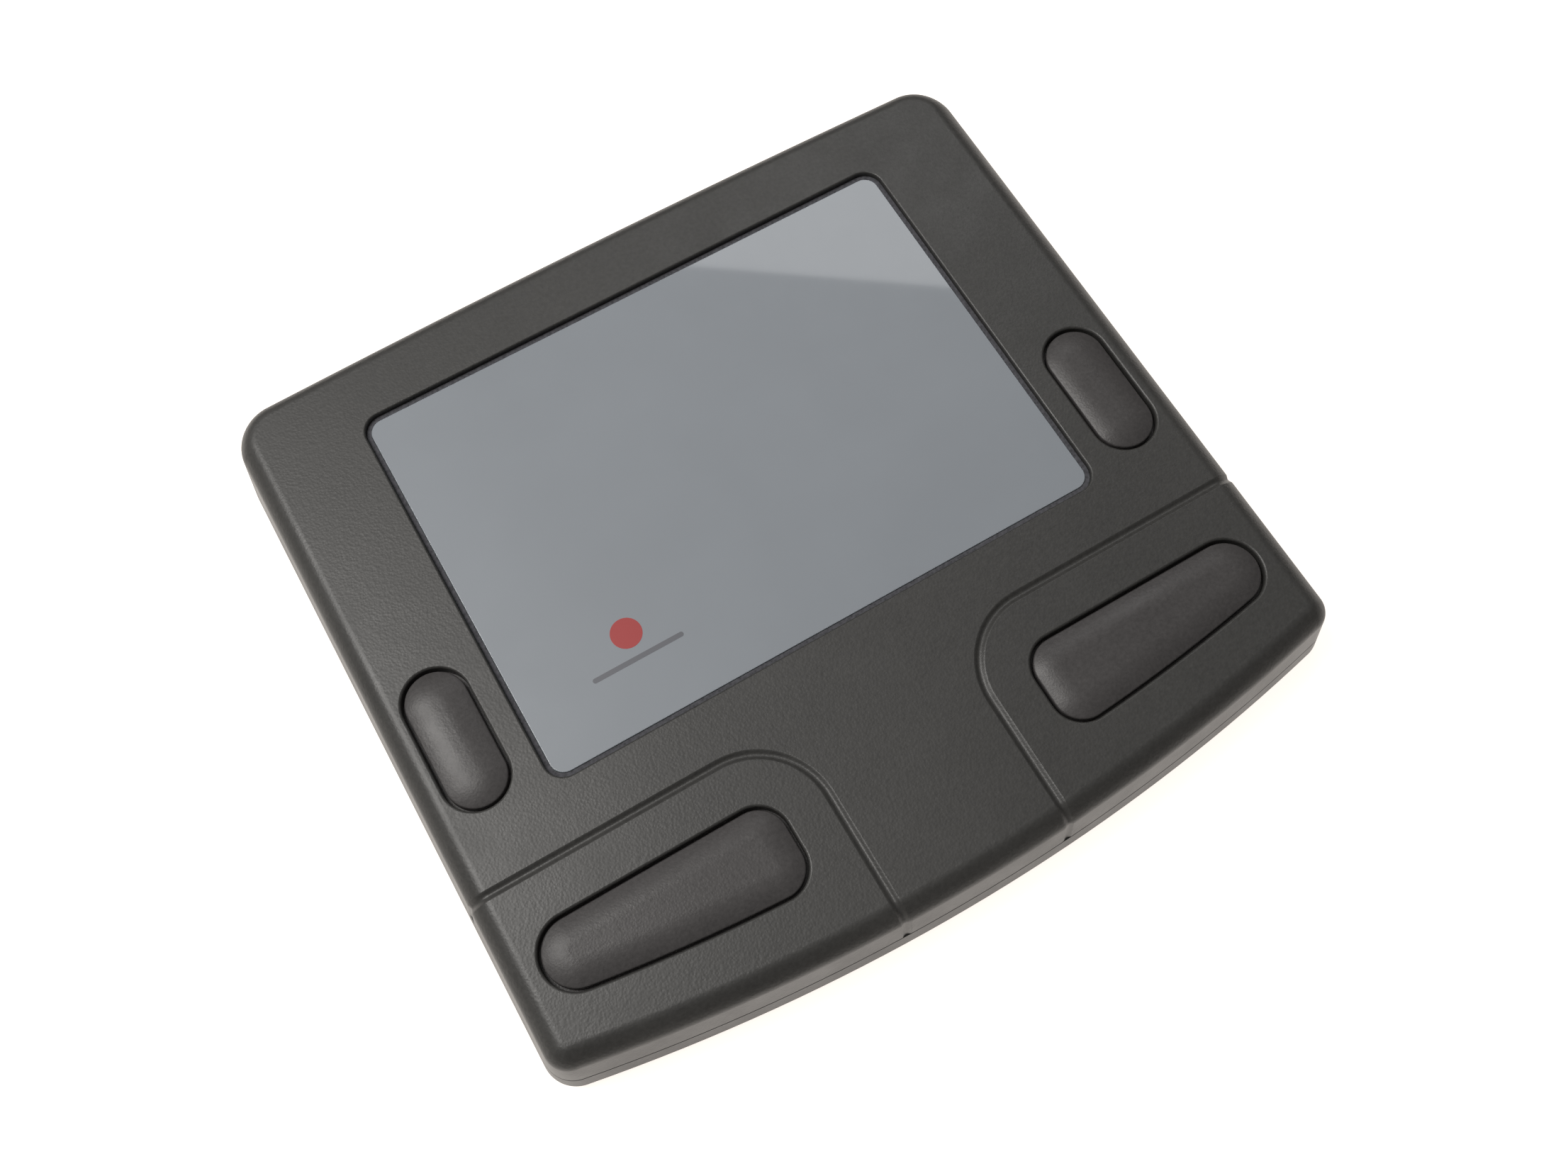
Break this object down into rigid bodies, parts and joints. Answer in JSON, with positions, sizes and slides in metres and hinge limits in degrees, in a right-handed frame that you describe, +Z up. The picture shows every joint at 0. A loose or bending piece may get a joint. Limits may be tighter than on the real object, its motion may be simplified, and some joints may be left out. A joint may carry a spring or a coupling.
{
  "type": "desktop touchpad",
  "caption": "Flat desktop touchpad with a recessed touch surface, a bowed front edge, press keys at both front corners and both sides, and a lead socket at the rear.",
  "frame": {"origin": "centre of the footprint, on the table under the feet", "axes": "+X to the right of someone using it, +Y away from them towards the rear wall, +Z up"},
  "size_m": [0.1252, 0.1146, 0.0131],
  "materials": {
    "case_plastic": "fine spark-eroded texture, charcoal",
    "key_plastic": "finer satin texture, charcoal",
    "pad_film": "fine matt film, cool grey",
    "adhesive": "double-sided sheet",
    "board": "solder mask, green",
    "chip_plastic": "moulded, black",
    "tinned": "tinned",
    "ceramic": "ceramic, tan",
    "plated_steel": "nickel plated",
    "gold_contact": "gold flash",
    "ribbon_film": "flexible film",
    "socket_plastic": "moulded, natural",
    "plunger_plastic": "moulded, natural",
    "screw_steel": "zinc plated",
    "foam": "closed-cell foam",
    "label_film": "matt silver film, blank",
    "foot_rubber": "moulded, black"
  },
  "bodies": {
    "case": {"top_shell": "case_plastic", "bottom_shell": "case_plastic", "pad_overlay": "pad_film", "pad_gasket": "foam", "overlay_adhesive": "adhesive", "sensor_board": "board", "controller_chip": "chip_plastic", "controller_leads": "tinned", "crystal_can": "tinned", "board_capacitors": "ceramic", "board_resistors": "chip_plastic", "usb_shell": "plated_steel", "usb_tongue": "chip_plastic", "usb_contacts": "gold_contact", "ribbon_cable": "ribbon_film", "ribbon_socket_upper": "socket_plastic", "ribbon_socket_lower": "socket_plastic", "key_board": "board", "switch_bases": "chip_plastic", "switch_covers": "plated_steel", "switch_terminals": "tinned", "case_screws": "screw_steel", "board_screws": "screw_steel", "foam_pads": "foam", "label_plate": "label_film", "rubber_feet": "foot_rubber", "dome_front_left": "plated_steel", "dome_front_right": "plated_steel", "dome_side_left": "plated_steel", "dome_side_right": "plated_steel"},
    "key_front_left": {"key_front_left": "key_plastic", "plunger_front_left": "plunger_plastic"},
    "key_front_right": {"key_front_right": "key_plastic", "plunger_front_right": "plunger_plastic"},
    "key_side_left": {"key_side_left": "key_plastic", "plunger_side_left": "plunger_plastic"},
    "key_side_right": {"key_side_right": "key_plastic", "plunger_side_right": "plunger_plastic"}
  },
  "joints": [
    {"name": "front_left_press", "type": "slide", "parent": "case", "child": "key_front_left", "axis": [0, 0, -1], "range_m": [0, 0.0005], "stiffness_N_per_m": 1500, "springref_m": -0.0003, "deforming": ["dome_front_left"]},
    {"name": "front_right_press", "type": "slide", "parent": "case", "child": "key_front_right", "axis": [0, 0, -1], "range_m": [0, 0.0005], "stiffness_N_per_m": 1500, "springref_m": -0.0003, "deforming": ["dome_front_right"]},
    {"name": "side_left_press", "type": "slide", "parent": "case", "child": "key_side_left", "axis": [0, 0, -1], "range_m": [0, 0.0005], "stiffness_N_per_m": 1500, "springref_m": -0.0003, "deforming": ["dome_side_left"]},
    {"name": "side_right_press", "type": "slide", "parent": "case", "child": "key_side_right", "axis": [0, 0, -1], "range_m": [0, 0.0005], "stiffness_N_per_m": 1500, "springref_m": -0.0003, "deforming": ["dome_side_right"]}
  ]
}
